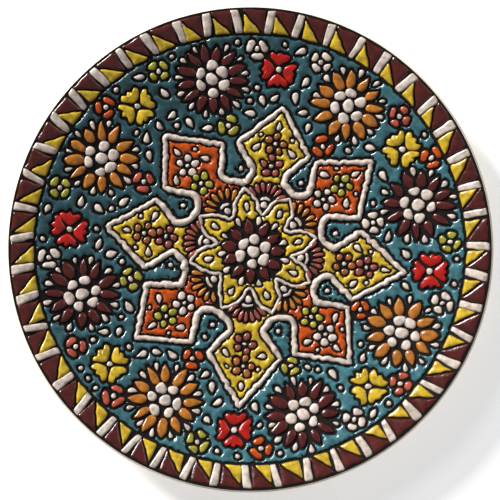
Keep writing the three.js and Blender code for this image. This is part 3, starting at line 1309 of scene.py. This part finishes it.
def glaze_points(loops):
    points, rims = [], []
    for loop in loops:
        rim = [onto_line(point, 0.0) for point in spaced(loop, LOOP_STEP)]
        first = len(points)
        points += rim
        rims += sides_of(list(range(first, len(points))))
    for row in EDGE_ROWS:
        for point in points[: len(rims)]:
            inner = onto_line(point, row)
            if clearance(inner) > row * 0.9:
                points.append(inner)
    reach = math.ceil(FIELD_EDGE / LATTICE)
    rows = math.ceil(reach / ROW_SPACING)
    for i in range(-reach, reach + 1):
        for k in range(-rows, rows + 1):
            point = Vector((i + (k % 2) / 2, k * ROW_SPACING)) * LATTICE
            if clearance(point) > LATTICE:
                points.append(point)
    return points, rims


points, rims = glaze_points(edges_of_glaze)
solved = geometry.delaunay_2d_cdt(points, rims, [], 0, 1e-5)
sheet_points, sheet_faces = solved[0], solved[2]
print("points:", len(points), "triangles:", len(sheet_faces))


# %% [markdown]
# Where a triangle lies decides its colour: inside the star it is yellow, inside a medallion it is
# the medallion's colour, and outside both it is teal. Triangles of one colour that share a side
# belong to one pool of glaze. A pool that is too small to flood is left as bare ground.

# %% Sorting the pools by colour
SMALLEST_POOL = 7.0  # square millimetres
WET = 0.004  # how far inside the glaze the middle of a triangle has to lie


def glaze_at(point):
    if in_star(point):
        return "yellow"
    if not in_medallions(point):
        return "teal"
    angle = math.degrees(math.atan2(*reversed(point - STAR_CENTRE))) % 360
    gaps = [abs((angle - turn + 180) % 360 - 180) for turn in MEDALLION_TURNS]
    return ("orange", "yellow")[gaps.index(min(gaps)) % 2]


def pools_of(points, faces):
    wet, colours = [], []
    for face in faces:
        middle = middle_of([points[i] for i in face])
        if clearance(middle) > WET:
            wet.append(face)
            colours.append(glaze_at(middle))
    owner = list(range(len(wet)))
    neighbour = {}

    def root(i):
        while owner[i] != i:
            owner[i] = owner[owner[i]]
            i = owner[i]
        return i

    for i, face in enumerate(wet):
        for a, b in sides_of(face):
            other = neighbour.setdefault((min(a, b), max(a, b)), i)
            if colours[other] == colours[i]:
                owner[root(i)] = root(other)
    pools = {}
    for i, face in enumerate(wet):
        pools.setdefault(root(i), []).append(face)
    return [(colours[i], pool) for i, pool in pools.items()]


flooded = {}
for colour, pool in pools_of(sheet_points, sheet_faces):
    area = sum(geometry.area_tri(*(sheet_points[i] for i in face)) for face in pool)
    if area > SMALLEST_POOL:
        flooded.setdefault(colour, []).append(pool)
print("pools:", {colour: len(pools) for colour, pools in flooded.items()})

# %% [markdown]
# The height of the glaze follows its distance from the edge: a quarter circle at the edge, and
# a nearly flat middle that swells a little here and there. Glaze breaks where it narrows to a
# point, so such points are taken out. The sheet starts inside the clay and is extruded up to
# that height, so the pool is a closed body.

# %% Raising the pools
THIN_EDGE = 0.03  # as a share of the skin, where the glaze has no height yet


def unevenness(point):
    slow = noise.noise((point.x * 0.09, point.y * 0.09, 2.0))
    quick = noise.noise((point.x * 0.3, point.y * 0.3, 5.0))
    return 0.12 * slow + 0.07 * quick


def pool_height(point):
    share = min(clearance(point) / SKIN, 1.0)
    if share < THIN_EDGE:
        return 0.0
    curve = math.sqrt(1 - (1 - share) ** 2)
    return curve * (RELIEF + unevenness(point) * share)


def flood(mesh, faces):
    used = sorted({i for face in faces for i in face})
    verts = {i: mesh.verts.new((*sheet_points[i], -ROOT)) for i in used}
    sheet = [mesh.faces.new([verts[i] for i in face]) for face in faces]
    corners = list(verts.values())
    while pinched := [vert for vert in corners if not vert.is_manifold]:
        bmesh.ops.delete(mesh, geom=pinched, context="VERTS")
        corners = [vert for vert in corners if vert.is_valid]
    sheet = [face for face in sheet if face.is_valid]
    grown = bmesh.ops.extrude_face_region(mesh, geom=sheet)["geom"]
    for vert in grown:
        if isinstance(vert, bmesh.types.BMVert):
            vert.co.z = pool_height(vert.co.xy)


coats["teal"] = bmesh.new()
for colour, pools in flooded.items():
    for pool in pools:
        flood(coats[colour], pool)
print("flooded coats:", {colour: len(coats[colour].faces) for colour in flooded})

# %% [markdown]
# ## The finished coats
#
# Each colour is one piece: its piped shapes and its pools, lifted onto the dish.

# %% One piece for each colour
open_edges = 0
for colour, mesh in coats.items():
    onto_dish(mesh)
    bmesh.ops.recalc_face_normals(mesh, faces=mesh.faces)
    open_edges += sum(not edge.is_manifold for edge in mesh.edges)
    piece(f"{colour}_coat", mesh, [ENAMELS[colour]])
print("edges that aren't closed:", open_edges)

# %% [markdown]
# ## The floor
#
# A plain sheet of pale paper, wide enough to fill the view from any side. It lies on a light
# table, as for a picture that is cut out later, so the plate's shadow on it stays faint.

# %% A pale sheet under the plate
TABLE_GLOW = 0.36
FLOOR_REACH = 6.0  # metres
sheet = bmesh.new()
bmesh.ops.create_grid(sheet, x_segments=1, y_segments=1, size=FLOOR_REACH)
floor_data = bpy.data.meshes.new("floor")
sheet.to_mesh(floor_data)
sheet.free()
floor = in_scene("floor", floor_data)
paper = matt("matt_paper", "#fbfaf9", "#f7f6f5", 0.9, 1.2, 0.02, 60.0)
paper.node_tree.nodes["Principled BSDF"].inputs["Emission Strength"].default_value = TABLE_GLOW
floor.data.materials.append(paper)
print("floor at height:", floor.location.z)
